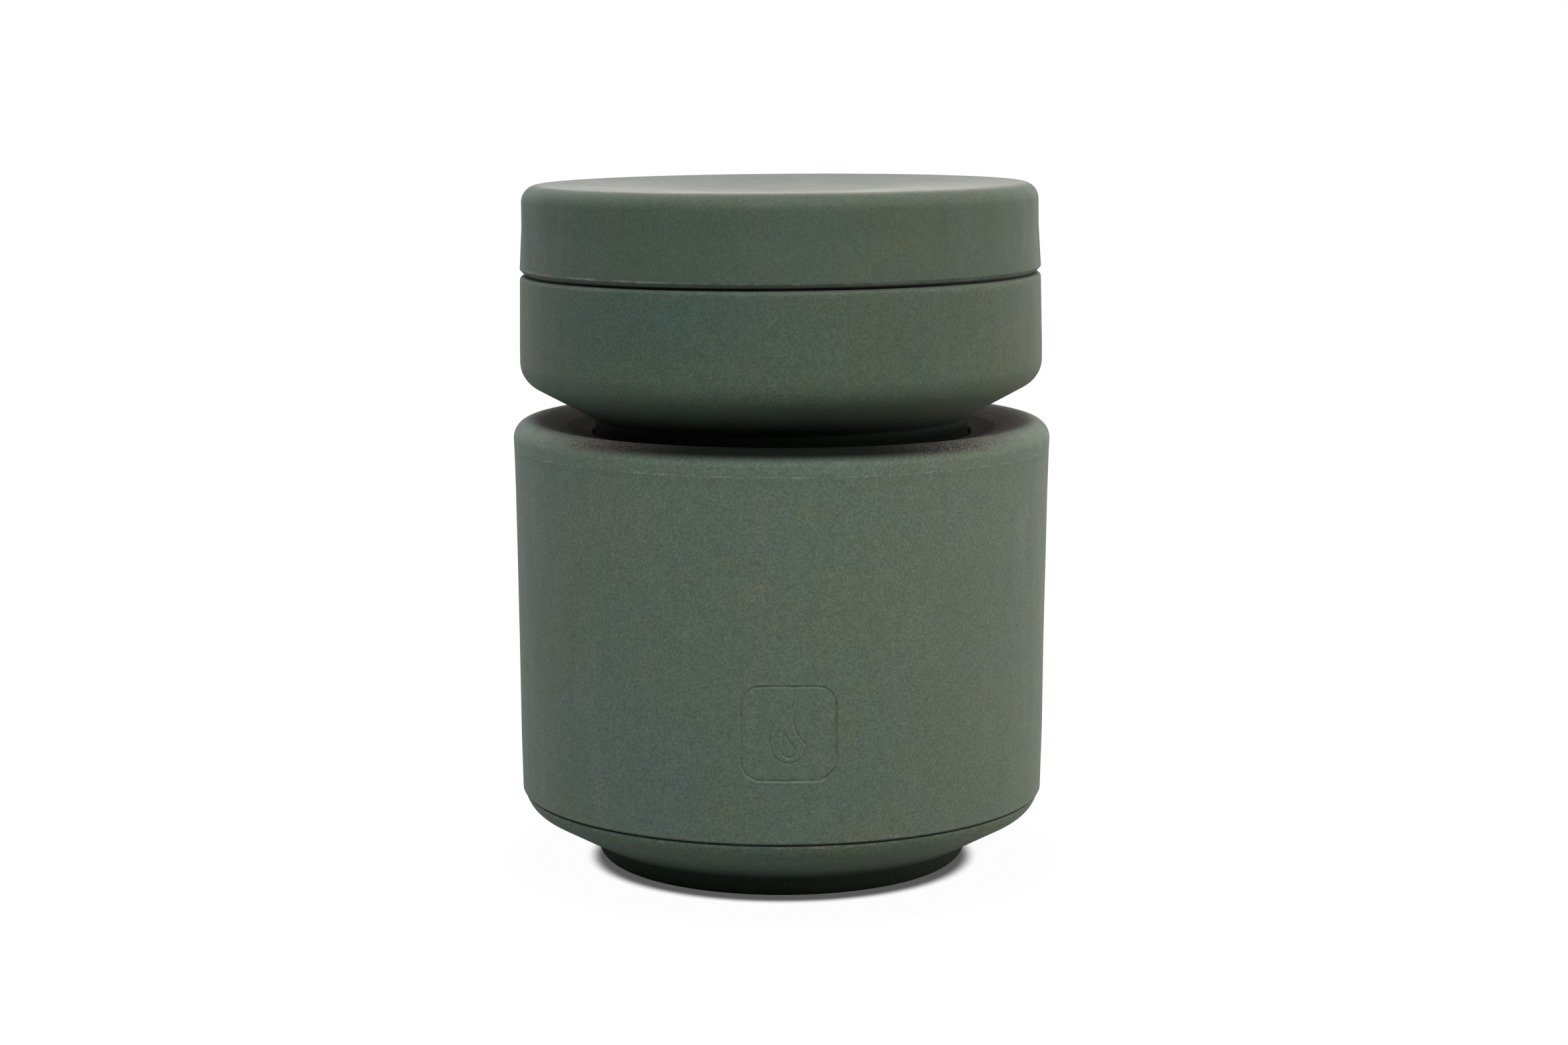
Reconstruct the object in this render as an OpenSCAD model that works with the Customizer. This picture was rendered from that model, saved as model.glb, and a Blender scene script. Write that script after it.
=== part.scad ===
// Rocket stove that stacks: ash dish, insulated drum, pan and lid share one turned form.
// Millimetres, +Z up. The origin is on the drum's axis at floor level, and the fuel door is on +Y.

/* [Drum] */
// Drum diameter at the shoulder
drum_d = 250; // [240:1:300]
// Drum height, from its lower edge to the crest of its top
drum_h = 174.4; // [165:0.2:220]
// How much narrower the drum's radius is at its lower edge
drum_taper = 2.6; // [1:0.1:4]
// Wall of the cast drum
drum_wall = 12.4; // [10:0.2:16]
// Rounding of the shoulder
shoulder_r = 8.1; // [4:0.1:12]
// Fall of the top from its crest to the mouth
deck_drop = 5.6; // [2:0.1:8]
// Depth of the pot ring's seat below the crest
seat_depth = 18.8; // [14:0.2:24]
// Thickness of the deck under that seat
seat_t = 18; // [12:0.5:24]
// Width of that seat
seat_w = 14.2; // [10:0.2:18]

/* [Turned form of dish and pan] */
// How far the foot of the dish and the pan stands in from the drum's side
foot_inset = 38; // [30:1:50]
// Slope of the underside above the foot
foot_slope = 28.5; // [20:0.5:35]
// Rounding where the underside meets the side
corner_r = 13; // [10:0.2:16]
// Gap round the pan's foot in the drum's mouth
mouth_gap = 1.2; // [0.6:0.1:2]

/* [Ash dish] */
// Height of the dish's rim above the floor
dish_h = 33.4; // [30:0.2:40]
// Height of the dish's straight foot above the floor
dish_foot_h = 9.9; // [8:0.1:13]
// Thickness of the dish's floor and side
dish_wall = 8; // [6:0.5:10]
// Height of the spigot that centres the drum
spigot_h = 7.4; // [5:0.2:10]
// Thickness of the spigot
spigot_t = 5; // [4:0.5:7]
// Thickness of the seal between dish and drum
seam = 1; // [0.8:0.1:2]
// How far the foot ring stands below the dish
pad_proud = 0.6; // [0.4:0.1:1.2]
// Width of the foot ring
pad_w = 10; // [6:0.5:14]

/* [Pan and lid] */
// How much wider the pan is than the drum, negative for a narrower pan
pan_over = -7.2; // [-15:0.2:50]
// Pan height
pan_h = 80.2; // [70:0.2:110]
// Height of the pan's straight foot
pan_foot_h = 14; // [12:0.5:18]
// Wall of the pan
pan_wall = 6.7; // [5:0.1:9]
// Gap between pan and lid, filled by the lid seal
lid_gap = 1.3; // [1:0.1:2]
// Lid height above its lower edge
lid_h = 40.3; // [34:0.1:60]
// Wall and top of the lid
lid_wall = 8; // [6:0.5:12]
// Hollow of the lid's top, where food or another bowl can stand
lid_hollow = 3.8; // [2:0.1:5]
// Rounding of the lid's top edge
lid_edge_r = 7.6; // [4:0.1:10]
// Depth of the lid's spigot inside the pan
lid_spigot_h = 8.5; // [6:0.5:12]

/* [Fire] */
// Inside diameter of the burn chamber
chamber_d = 110; // [90:1:112]
// Steel sheet of the chamber, feed tube and plates
sheet = 2; // [1.5:0.1:3]
// Height of the chamber floor's underside above the drum's lower edge
floor_rise = 17.6; // [16:0.2:22]
// Fire grate thickness
grate_t = 6; // [4:0.5:8]
// Width of a slot in the grate
grate_slot = 6; // [4:0.5:8]
// Bar between two grate slots
grate_bar = 6; // [4:0.5:8]
// Inside width of the feed tube
feed_w = 80; // [64:1:82]
// Inside height of the feed tube
feed_h = 58; // [48:1:60]
// Height of the feed tube's floor above the chamber floor
feed_rise = 12; // [10:0.5:16]
// Height of the fuel shelf above the feed tube's floor
shelf_h = 20; // [16:0.5:24]
// Thickness of the pot ring
ring_t = 5.9; // [5:0.1:8]
// Drop of the pot ring's lugs, which lift a pot when the ring is turned over
lug_h = 16.8; // [8:0.2:17]
// Width of a pot ring lug
lug_w = 12; // [8:0.5:16]

/* [Fuel door] */
// Width of the frame beside the feed tube
frame_side = 14; // [13:0.5:18]
// How far the frame's face stands behind the drum
frame_proud = 4; // [3:0.5:10]
// Thickness of the door plate
door_t = 4; // [3:0.5:6]
// How far the door covers the frame round the opening
door_lap = 5; // [4:0.5:6]
// Outside radius of the hinge knuckles
knuckle_r = 4.5; // [4:0.1:5]
// Hinge pin diameter
pin_d = 4; // [3:0.5:5]
// Width of a slot in the air shutter
air_slot_w = 6.5; // [5:0.5:8]
// Solid bar between two air slots
air_bar_w = 7.5; // [6:0.5:9]
// Height of the air slots
air_slot_h = 14; // [8:0.5:16]
// Number of air slots
air_slots = 4; // [2:1:4]
// Radius of the door knob
knob_r = 11; // [8:0.5:14]
// Length of the door knob
knob_l = 24; // [18:1:32]

/* [Fits] */
// Vertical gap where one loose piece stands on another
rest_gap = 0.2; // [0.1:0.05:0.4]
// Gap round a loose spigot
spigot_gap = 0.6; // [0.4:0.1:1]
// Gap round pieces that are built in
build_gap = 0.3; // [0.2:0.1:0.6]
// Radial gap of screws and rods in their holes
hole_gap = 0.05; // [0.05:0.05:0.3]
// Radial running clearance of the hinge pin
run_gap = 0.05; // [0.03:0.01:0.1]
// Gap between the door and its frame
door_gap = 0.4; // [0.3:0.1:0.8]

/* [Hidden] */
$fn = 96;
cut = 1;

// Drum: radii and levels
drum_r = drum_d / 2;
drum_base_r = drum_r - drum_taper;
drum_z = dish_h + seam;
crest_z = drum_z + drum_h;
cavity_r = drum_base_r - drum_wall;
foot_r = drum_r - foot_inset;
mouth_r = foot_r + mouth_gap;
mouth_z = crest_z - deck_drop;
seat_z = crest_z - seat_depth;
throat_r = mouth_r - seat_w;
deck_z = seat_z - seat_t;
edge_break = 1.2;

// Dish: its inside runs up into the spigot
dish_belly_r = drum_base_r - 0.4;
spigot_r = cavity_r + 3.5;
spigot_in_r = spigot_r - spigot_t;
rebate_r = spigot_r + spigot_gap;
rebate_z = dish_h + spigot_h + spigot_gap;
pad_t = 2.4;
pad_r = foot_r - 11;
foot_round = 8;
seal_inset = 2;

// Fire: levels, from the chamber floor up
chamber_r = chamber_d / 2;
chamber_out_r = chamber_r + sheet;
floor_z = drum_z + floor_rise;
fire_z = floor_z + sheet;
ash_hole_r = chamber_r - 5;
feed_z = fire_z + feed_rise;
feed_out_w = feed_w + 2 * sheet;
feed_out_h = feed_h + 2 * sheet;
feed_mid_z = feed_z + feed_h / 2;
insulation_r = cavity_r - 0.6;
cover_z = deck_z - sheet;
rod_r = 3;
rod_ring_r = (throat_r + cavity_r) / 2;
rod_angles = [30, 150, 270];
washer_r = 7;
washer_t = 1;
nut_af = 10;
nut_t = 5;
rod_tail = 2;
rod_top_z = seat_z - 4;

// Pan and lid: levels
ring_z = seat_z + rest_gap;
pan_z = ring_z + ring_t + rest_gap;
pan_r = (drum_d + pan_over) / 2;
pan_in_r = pan_r - pan_wall;
pan_rim_z = pan_z + pan_h;
pan_lean = 0.7;
pan_floor_t = 8.7;
pan_foot_in = 8;
lid_z = pan_rim_z + lid_gap;
lid_top_z = lid_z + lid_h;
lid_r = pan_r - pan_lean;
lid_lean = 1.2;
lid_chamfer = 1.8;
lid_spigot_r = pan_in_r - pan_lean - spigot_gap;
lid_in_r = lid_spigot_r - lid_wall;

// Port: planes along Y, and the frame's size
frame_w = feed_out_w + 2 * frame_side;
frame_h = feed_out_h + 2 * (frame_side + 1);
frame_round = 6;
gasket_t = 1;
port_seat_y = floor(10 * sqrt(pow(drum_base_r, 2) - pow(frame_w / 2, 2))) / 10 - 2;
frame_back_y = port_seat_y + gasket_t;
frame_y = drum_r + frame_proud;
boss_t = 11;
boss_y = port_seat_y - boss_t;
boss_side = 4;
boss_w = frame_w + 2 * boss_side;
boss_h = frame_h + 2 * boss_side;
screw_r = 2.5;
screw_x = frame_w / 2 - 7;
screw_z = frame_h / 2 - 6.5;
screw_head_r = 4;
screw_head_t = 2.6;

// Door: the hinge is on -X
hinge_x = -(frame_w / 2 - knuckle_r - 1.5);
hinge_y = frame_y + knuckle_r + 0.5;
pin_r = pin_d / 2;
door_back_y = frame_y + door_gap;
door_face_y = door_back_y + door_t;
door_left = hinge_x + knuckle_r + 1;
door_right = feed_w / 2 + sheet + door_lap;
door_h = feed_out_h + 2 * door_lap;
door_round = 4;
knuckle_h = 48;
lug_len = 9;
knuckle_gap = 0.3;
rope_w = 3;
rope_inset = 3;

// Air shutter: it slides on the door's lower half
air_pitch = air_slot_w + air_bar_w;
air_mid_x = -6;
air_mid_z = feed_mid_z - door_h / 2 + 20;
shutter_t = 1.5;
shutter_gap = 0.2;
shutter_h = air_slot_h + 8;
shutter_w = air_slots * air_pitch + 8;
shutter_y = door_face_y + shutter_gap;
rail_lap = 2.5;
rail_base = 5;
rail_t = 1;
rail_l = shutter_w + air_pitch / 2;
rivet_r = 1.5;
rivet_head_r = 2.4;
shutter_knob_r = 4.5;
shutter_knob_l = 11;
knob_x = door_right - 14;
knob_z = feed_mid_z + door_h / 2 - 20;
stud_r = 2.5;
stud_head_r = 5;
stud_head_t = 2;

// Emblem on the drum's front
emblem_size = 42;
emblem_line = 1.6;
emblem_round = 9;
emblem_depth = 0.7;
emblem_z = drum_z + 50;

// Points on an arc about [cx, cz], from angle a0 to a1
function arc(cx, cz, r, a0, a1, n = 8) =
    [for (i = [0:n]) let (a = a0 + (a1 - a0) * i / n) [cx + r * cos(a), cz + r * sin(a)]];

// Height of the centre of the rounding between the sloping underside and the side
function corner_z(foot_r, cone_z, side_r, round_r) =
    cone_z + (round_r + (side_r - round_r - foot_r) * sin(foot_slope)) / cos(foot_slope);

// Side of a bowl with a straight foot, from the foot's lower edge up to its rounded corner
function bowl_side(foot_r, base_z, cone_z, side_r, round_r, base_round, rim_z) =
    let (cz = corner_z(foot_r, cone_z, side_r, round_r))
    let (end = rim_z < cz ? -asin(min(1, (cz - rim_z) / round_r)) : 0)
    concat(
        arc(foot_r - base_round, base_z + base_round, base_round, -90, 0, 5),
        [[foot_r, cone_z]],
        arc(side_r - round_r, cz, round_r, foot_slope - 90, end)
    );

// The same side moved in by a wall, along the slope's normal
function inner_cone_z(cone_z, inset, wall) =
    cone_z - inset * tan(foot_slope) + wall / cos(foot_slope);

// Cylinder along +Y, from y0 to y1
module rod_y(x, z, r, y0, y1) {
    translate([x, y0, z])
        rotate([-90, 0, 0])
            cylinder(r = r, h = y1 - y0);
}

// Flat rectangle with round corners
module rounded(w, h, r) {
    square([w - 2 * r, h], center = true);
    square([w, h - 2 * r], center = true);
    for (x = [-1, 1], y = [-1, 1])
        translate([x * (w / 2 - r), y * (h / 2 - r)])
            circle(r = r);
}

// Rounded plate across Y, centred on [x, z], from y0 to y1
module plate_y(x, z, w, h, r, y0, y1) {
    translate([x, y1, z])
        rotate([90, 0, 0])
            linear_extrude(y1 - y0)
                rounded(w, h, r);
}

// Box across Y, centred on [x, z], from y0 to y1
module box_y(x, z, w, h, y0, y1) {
    translate([x - w / 2, y0, z - h / 2])
        cube([w, y1 - y0, h]);
}

module ash_dish() {
    in_foot_r = foot_r - dish_wall;
    in_cone_z = inner_cone_z(dish_foot_h, dish_wall, dish_wall);
    outside = bowl_side(foot_r, pad_proud, dish_foot_h, dish_belly_r, corner_r, foot_round, dish_h);
    inside = bowl_side(in_foot_r, dish_wall, in_cone_z, spigot_in_r, corner_r - dish_wall, 2, dish_h);
    color("#4a554a")
        difference() {
            rotate_extrude()
                polygon(concat(
                    [[0, pad_proud]],
                    outside,
                    [[spigot_r, dish_h], [spigot_r, dish_h + spigot_h]],
                    [[spigot_in_r, dish_h + spigot_h]],
                    [for (i = [len(inside) - 1:-1:0]) inside[i]],
                    [[0, dish_wall]]
                ));
            pad_ring(hole_gap);
        }
}

// Flat ring under the foot, widened by grow for its groove
module pad_ring(grow) {
    difference() {
        cylinder(r = pad_r + grow, h = pad_t);
        translate([0, 0, -cut])
            cylinder(r = pad_r - pad_w - grow, h = pad_t + 2 * cut);
    }
}

module foot_ring() {
    color("#2b2c2a")
        pad_ring(0);
}

module dish_seal() {
    color("#1e1f1e")
        translate([0, 0, dish_h])
            difference() {
                cylinder(r = dish_belly_r - seal_inset, h = seam - rest_gap);
                translate([0, 0, -cut])
                    cylinder(r = spigot_r + hole_gap, h = seam + 2 * cut);
            }
}

// Flame outline: a drop leaning to one side
module flame(r) {
    circle(r = r);
    rotate(45)
        square(r);
    translate([-r * 0.3, r * 0.6])
        rotate(45)
            square(r * 0.8);
}

// Lines of the emblem, flat
module emblem_lines() {
    difference() {
        rounded(emblem_size, emblem_size, emblem_round);
        rounded(emblem_size - 2 * emblem_line, emblem_size - 2 * emblem_line, emblem_round - emblem_line);
    }
    translate([0, -emblem_size / 8])
        difference() {
            flame(emblem_size / 5);
            flame(emblem_size / 5 - emblem_line);
        }
}

// Groove of the emblem, as deep everywhere as the drum's side is round
module emblem_groove() {
    difference() {
        translate([0, 0, emblem_z])
            rotate([90, 0, 0])
                linear_extrude(drum_r + cut)
                    emblem_lines();
        cylinder(r = drum_base_r + 0.3 - emblem_depth, h = crest_z);
    }
}

module drum_turning() {
    slope = atan(deck_drop / (drum_r - shoulder_r - mouth_r));
    lip = 1.5;
    rotate_extrude()
        polygon(concat(
            [[rebate_r, drum_z], [drum_base_r - edge_break, drum_z], [drum_base_r, drum_z + edge_break]],
            [[drum_r - 0.8, crest_z - 4 * shoulder_r]],
            arc(drum_r - shoulder_r, crest_z - shoulder_r, shoulder_r, 0, 90 + slope, 10),
            arc(mouth_r + lip, mouth_z - lip, lip, 90 + slope, 180, 4),
            [[mouth_r, seat_z], [throat_r, seat_z], [throat_r, deck_z]],
            [[cavity_r, deck_z], [cavity_r, rebate_z], [rebate_r, rebate_z]]
        ));
}

module drum_shell() {
    color("#546053")
        difference() {
            union() {
                drum_turning();
                intersection() {
                    box_y(0, feed_mid_z, boss_w, boss_h, boss_y, drum_r);
                    cylinder(r = cavity_r + 1, h = crest_z);
                }
            }
            plate_y(0, feed_mid_z, frame_w + 2 * build_gap, frame_h + 2 * build_gap, frame_round,
                port_seat_y, drum_r + cut);
            box_y(0, feed_mid_z, feed_out_w + 2 * build_gap, feed_out_h + 2 * build_gap,
                boss_y - cut, drum_r);
            for (x = [-screw_x, screw_x], z = [-screw_z, screw_z])
                rod_y(x, feed_mid_z + z, screw_r + hole_gap, boss_y - cut, drum_r);
            for (a = rod_angles)
                rotate(a)
                    translate([rod_ring_r, 0, deck_z - cut])
                        cylinder(r = rod_r + hole_gap, h = rod_top_z - deck_z + cut + 1);
            emblem_groove();
        }
}

// Space that the port's boss takes out of the pieces inside the drum
module boss_space() {
    box_y(0, feed_mid_z, boss_w + 2 * build_gap, boss_h + 2 * build_gap, boss_y - build_gap, drum_r);
}

module chamber_floor() {
    color("#6d6f70")
        difference() {
            translate([0, 0, floor_z])
                cylinder(r = insulation_r, h = sheet);
            translate([0, 0, floor_z - cut])
                cylinder(r = ash_hole_r, h = sheet + 2 * cut);
            for (a = rod_angles)
                rotate(a)
                    translate([rod_ring_r, 0, floor_z - cut])
                        cylinder(r = rod_r + build_gap, h = sheet + 2 * cut);
            boss_space();
        }
}

module burn_chamber() {
    color("#6f6a66")
        difference() {
            translate([0, 0, fire_z])
                cylinder(r = chamber_out_r, h = deck_z - fire_z);
            translate([0, 0, fire_z - cut])
                cylinder(r = chamber_r, h = deck_z - fire_z + 2 * cut);
            box_y(0, feed_mid_z, feed_out_w, feed_out_h, 0, drum_r);
        }
}

module feed_tube() {
    color("#6f6a66")
        difference() {
            box_y(0, feed_mid_z, feed_out_w, feed_out_h, 0, port_seat_y);
            box_y(0, feed_mid_z, feed_w, feed_h, -cut, port_seat_y + cut);
            cylinder(r = chamber_out_r + hole_gap, h = deck_z);
        }
}

// Ring of insulation round the chamber, with room for the feed tube, the boss and the tie rods
module insulation(z0, z1) {
    difference() {
        translate([0, 0, z0])
            cylinder(r = insulation_r, h = z1 - z0);
        translate([0, 0, z0 - cut])
            cylinder(r = chamber_out_r + build_gap, h = z1 - z0 + 2 * cut);
        box_y(0, feed_mid_z, feed_out_w + 2 * build_gap, feed_out_h + 2 * build_gap, 0, drum_r);
        boss_space();
        for (a = rod_angles)
            rotate(a)
                translate([rod_ring_r, 0, z0 - cut])
                    cylinder(r = rod_r + build_gap, h = z1 - z0 + 2 * cut);
    }
}

module lower_insulation() {
    color("#d8cfbd")
        insulation(fire_z, feed_mid_z);
}

module upper_insulation() {
    color("#d8cfbd")
        insulation(feed_mid_z, cover_z);
}

module insulation_cover() {
    color("#6d6f70")
        difference() {
            translate([0, 0, cover_z])
                cylinder(r = insulation_r, h = sheet);
            translate([0, 0, cover_z - cut])
                cylinder(r = chamber_out_r + build_gap, h = sheet + 2 * cut);
            for (a = rod_angles)
                rotate(a)
                    translate([rod_ring_r, 0, cover_z - cut])
                        cylinder(r = rod_r + build_gap, h = sheet + 2 * cut);
            boss_space();
        }
}

module tie_rods() {
    rod_z = floor_z - washer_t - nut_t - rod_tail;
    color("#8d9092")
        for (a = rod_angles)
            rotate(a)
                translate([rod_ring_r, 0, rod_z])
                    cylinder(r = rod_r, h = rod_top_z - rod_z);
}

module tie_washers() {
    color("#9a9d9f")
        for (a = rod_angles)
            rotate(a)
                translate([rod_ring_r, 0, floor_z - washer_t])
                    difference() {
                        cylinder(r = washer_r, h = washer_t);
                        translate([0, 0, -cut])
                            cylinder(r = rod_r + build_gap, h = washer_t + 2 * cut);
                    }
}

module tie_nuts() {
    color("#9a9d9f")
        for (a = rod_angles)
            rotate(a)
                translate([rod_ring_r, 0, floor_z - washer_t - nut_t])
                    difference() {
                        cylinder(r = nut_af / 2 / cos(30), h = nut_t, $fn = 6);
                        translate([0, 0, -cut])
                            cylinder(r = rod_r + hole_gap, h = nut_t + 2 * cut);
                    }
}

module fire_grate() {
    grate_r = chamber_r - spigot_gap;
    pitch = grate_slot + grate_bar;
    reach = grate_r - 7;
    rows = floor(reach / pitch);
    color("#3a3a3b")
        translate([0, 0, fire_z + rest_gap])
            difference() {
                cylinder(r = grate_r, h = grate_t);
                for (i = [-rows:rows])
                    let (half = sqrt(pow(reach, 2) - pow(i * pitch, 2)))
                        translate([i * pitch - grate_slot / 2, -half, -cut])
                            cube([grate_slot, 2 * half, grate_t + 2 * cut]);
            }
}

module fuel_shelf() {
    shelf_w = feed_w - 2 * build_gap;
    front_y = chamber_out_r + 1;
    back_y = port_seat_y - 4;
    top_z = feed_z + shelf_h + sheet;
    slots = 4;
    slot_w = 6;
    slot_pitch = shelf_w / (slots + 1);
    color("#77787a")
        difference() {
            translate([-shelf_w / 2, front_y, feed_z + rest_gap])
                cube([shelf_w, back_y - front_y, top_z - feed_z - rest_gap]);
            translate([-shelf_w / 2 + sheet, front_y - cut, feed_z])
                cube([shelf_w - 2 * sheet, back_y - front_y + 2 * cut, shelf_h]);
            for (i = [1:slots])
                translate([-shelf_w / 2 + i * slot_pitch - slot_w / 2, front_y + 8, feed_z])
                    cube([slot_w, back_y - front_y - 16, shelf_h + 2 * sheet]);
        }
}

module port_frame() {
    lug_z = knuckle_h / 2 + knuckle_gap;
    color("#2f3030")
        difference() {
            union() {
                plate_y(0, feed_mid_z, frame_w, frame_h, frame_round, frame_back_y, frame_y);
                for (s = [-1, 1])
                    translate([hinge_x, 0, feed_mid_z + s * (lug_z + lug_len / 2)]) {
                        translate([0, hinge_y, -lug_len / 2])
                            cylinder(r = knuckle_r, h = lug_len);
                        translate([-knuckle_r, frame_y - cut, -lug_len / 2])
                            cube([2 * knuckle_r, hinge_y - frame_y + cut, lug_len]);
                    }
            }
            box_y(0, feed_mid_z, feed_w, feed_h, frame_back_y - cut, frame_y + cut);
            for (x = [-screw_x, screw_x], z = [-screw_z, screw_z])
                rod_y(x, feed_mid_z + z, screw_r + hole_gap, frame_back_y - cut, frame_y + cut);
            translate([hinge_x, hinge_y, feed_mid_z - frame_h])
                cylinder(r = pin_r + hole_gap, h = 2 * frame_h);
        }
}

module port_gasket() {
    color("#1e1f1e")
        difference() {
            plate_y(0, feed_mid_z, frame_w, frame_h, frame_round, port_seat_y, frame_back_y);
            box_y(0, feed_mid_z, feed_w, feed_h, port_seat_y - cut, frame_back_y + cut);
            for (x = [-screw_x, screw_x], z = [-screw_z, screw_z])
                rod_y(x, feed_mid_z + z, screw_r + build_gap, port_seat_y - cut, frame_back_y + cut);
        }
}

module frame_screws() {
    color("#8d9092")
        for (x = [-screw_x, screw_x], z = [-screw_z, screw_z]) {
            rod_y(x, feed_mid_z + z, screw_r, boss_y + 1, frame_y + cut);
            difference() {
                rod_y(x, feed_mid_z + z, screw_head_r, frame_y, frame_y + screw_head_t);
                translate([x, frame_y + screw_head_t - 1.2, feed_mid_z + z])
                    rotate([-90, 0, 0])
                        cylinder(r = 1.8, h = 1.2 + cut, $fn = 6);
            }
        }
}

module hinge_pin() {
    half = knuckle_h / 2 + knuckle_gap + lug_len;
    head_t = 1.5;
    color("#8d9092")
        translate([hinge_x, hinge_y, feed_mid_z]) {
            translate([0, 0, -half - head_t])
                cylinder(r = pin_r, h = 2 * half + head_t + 0.5);
            translate([0, 0, half])
                cylinder(r = pin_r + 1.2, h = head_t);
        }
}

// Air slots through the door, or through the shutter when shift is the shut position
module air_slots_cut(shift, y0, y1) {
    for (i = [0:air_slots - 1])
        box_y(air_mid_x + shift + (i - (air_slots - 1) / 2) * air_pitch, air_mid_z,
            air_slot_w, air_slot_h, y0, y1);
}

module fuel_door() {
    door_w = door_right - door_left;
    door_mid_x = (door_right + door_left) / 2;
    color("#2f3030")
        difference() {
            union() {
                plate_y(door_mid_x, feed_mid_z, door_w, door_h, door_round, door_back_y, door_face_y);
                translate([hinge_x, hinge_y, feed_mid_z - knuckle_h / 2])
                    cylinder(r = knuckle_r, h = knuckle_h);
                translate([hinge_x, door_back_y, feed_mid_z - knuckle_h / 2])
                    cube([door_left - hinge_x + door_round, door_t, knuckle_h]);
            }
            translate([hinge_x, hinge_y, feed_mid_z - knuckle_h])
                cylinder(r = pin_r + run_gap, h = 2 * knuckle_h);
            rope_space(door_back_y - cut, door_back_y + 1.5 + hole_gap, hole_gap);
            air_slots_cut(0, door_back_y - cut, door_face_y + cut);
            rod_y(knob_x, knob_z, stud_r + hole_gap, door_back_y - cut, door_face_y + cut);
        }
}

// Ring of rope that seals the door, widened by grow for its groove
module rope_space(y0, y1, grow) {
    in_w = feed_w + 2 * sheet - 1.5;
    in_h = feed_h + 2 * sheet - 1.5;
    difference() {
        plate_y(0, feed_mid_z, in_w + 2 * (rope_w + grow), in_h + 2 * (rope_w + grow), rope_inset, y0, y1);
        plate_y(0, feed_mid_z, in_w - 2 * grow, in_h - 2 * grow, rope_inset / 2, y0 - cut, y1 + cut);
    }
}

module door_gasket() {
    color("#8c8a82")
        rope_space(door_back_y, door_back_y + 1.5, 0);
}

module door_knob() {
    neck_r = 6;
    foot = 3;
    color("#7a5230")
        translate([knob_x, door_face_y + stud_head_t, knob_z])
            rotate([-90, 0, 0])
                difference() {
                    rotate_extrude()
                        polygon(concat(
                            [[0, 0], [neck_r, 0], [neck_r, foot]],
                            arc(knob_r - 6, knob_l - 8, 6, -60, 0, 5),
                            arc(knob_r - 7, knob_l - 7, 7, 10, 90, 8),
                            [[0, knob_l]]
                        ));
                    translate([0, 0, -cut])
                        cylinder(r = stud_r + hole_gap, h = knob_l / 2 + cut);
                }
}

module knob_stud() {
    color("#9a9d9f")
        difference() {
            union() {
                rod_y(knob_x, knob_z, stud_r, door_back_y, door_face_y + stud_head_t + knob_l / 2 - cut);
                rod_y(knob_x, knob_z, stud_head_r, door_face_y, door_face_y + stud_head_t);
            }
            box_y(knob_x, knob_z, 1, 2 * stud_r + cut, door_back_y - cut, door_back_y + 1);
        }
}

module shutter_rails() {
    rail_out = shutter_t + 2 * shutter_gap;
    color("#3a3a3b")
        for (s = [-1, 1])
            difference() {
                union() {
                    box_y(air_mid_x, air_mid_z + s * (shutter_h / 2 + shutter_gap + rail_base / 2),
                        rail_l, rail_base, door_face_y, door_face_y + rail_out + rail_t);
                    box_y(air_mid_x, air_mid_z + s * (shutter_h / 2 + shutter_gap - rail_lap / 2 + cut / 2),
                        rail_l, rail_lap + cut, door_face_y + rail_out, door_face_y + rail_out + rail_t);
                }
                for (x = [-1, 1])
                    rod_y(air_mid_x + x * (rail_l / 2 - 5),
                        air_mid_z + s * (shutter_h / 2 + shutter_gap + rail_base / 2),
                        rivet_r + hole_gap, door_face_y - cut, door_face_y + rail_out + rail_t + cut);
            }
}

module rail_rivets() {
    top_y = door_face_y + shutter_t + 2 * shutter_gap + rail_t;
    color("#9a9d9f")
        for (s = [-1, 1], x = [-1, 1])
            translate([
                air_mid_x + x * (rail_l / 2 - 5),
                door_face_y,
                air_mid_z + s * (shutter_h / 2 + shutter_gap + rail_base / 2)
            ])
                rotate([-90, 0, 0]) {
                    cylinder(r = rivet_r, h = top_y - door_face_y);
                    translate([0, 0, top_y - door_face_y])
                        rotate_extrude()
                            polygon(concat([[0, 0]], arc(0, 0, rivet_head_r, 0, 90, 5)));
                }
}

module air_shutter() {
    color("#77787a")
        difference() {
            box_y(air_mid_x - air_pitch / 4, air_mid_z, shutter_w, shutter_h, shutter_y, shutter_y + shutter_t);
            air_slots_cut(-air_pitch / 2, shutter_y - cut, shutter_y + shutter_t + cut);
        }
}

module shutter_knob() {
    neck_r = 2;
    neck_l = 5;
    knob_side_x = air_mid_x - air_pitch / 4 + shutter_w / 2 - 3;
    color("#b08d4a")
        translate([knob_side_x, shutter_y + shutter_t, air_mid_z])
            rotate([-90, 0, 0])
                rotate_extrude()
                    polygon(concat(
                        [[0, 0], [neck_r, 0], [neck_r, neck_l]],
                        [[shutter_knob_r, neck_l + 1]],
                        arc(shutter_knob_r - 2, shutter_knob_l - 2, 2, 0, 90, 4),
                        [[0, shutter_knob_l]]
                    ));
}

module pot_ring() {
    out_r = mouth_r - 1;
    in_r = throat_r - 3.5;
    lug_out_r = throat_r - 0.6;
    lug_in_r = in_r - 8.5;
    color("#3a3a3b")
        union() {
            difference() {
                translate([0, 0, ring_z])
                    cylinder(r = out_r, h = ring_t);
                translate([0, 0, ring_z - cut])
                    cylinder(r = in_r, h = ring_t + 2 * cut);
            }
            for (i = [0:2])
                rotate(90 + 120 * i)
                    translate([lug_in_r, -lug_w / 2, ring_z - lug_h])
                        cube([lug_out_r - lug_in_r, lug_w, lug_h + ring_t]);
        }
}

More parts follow.
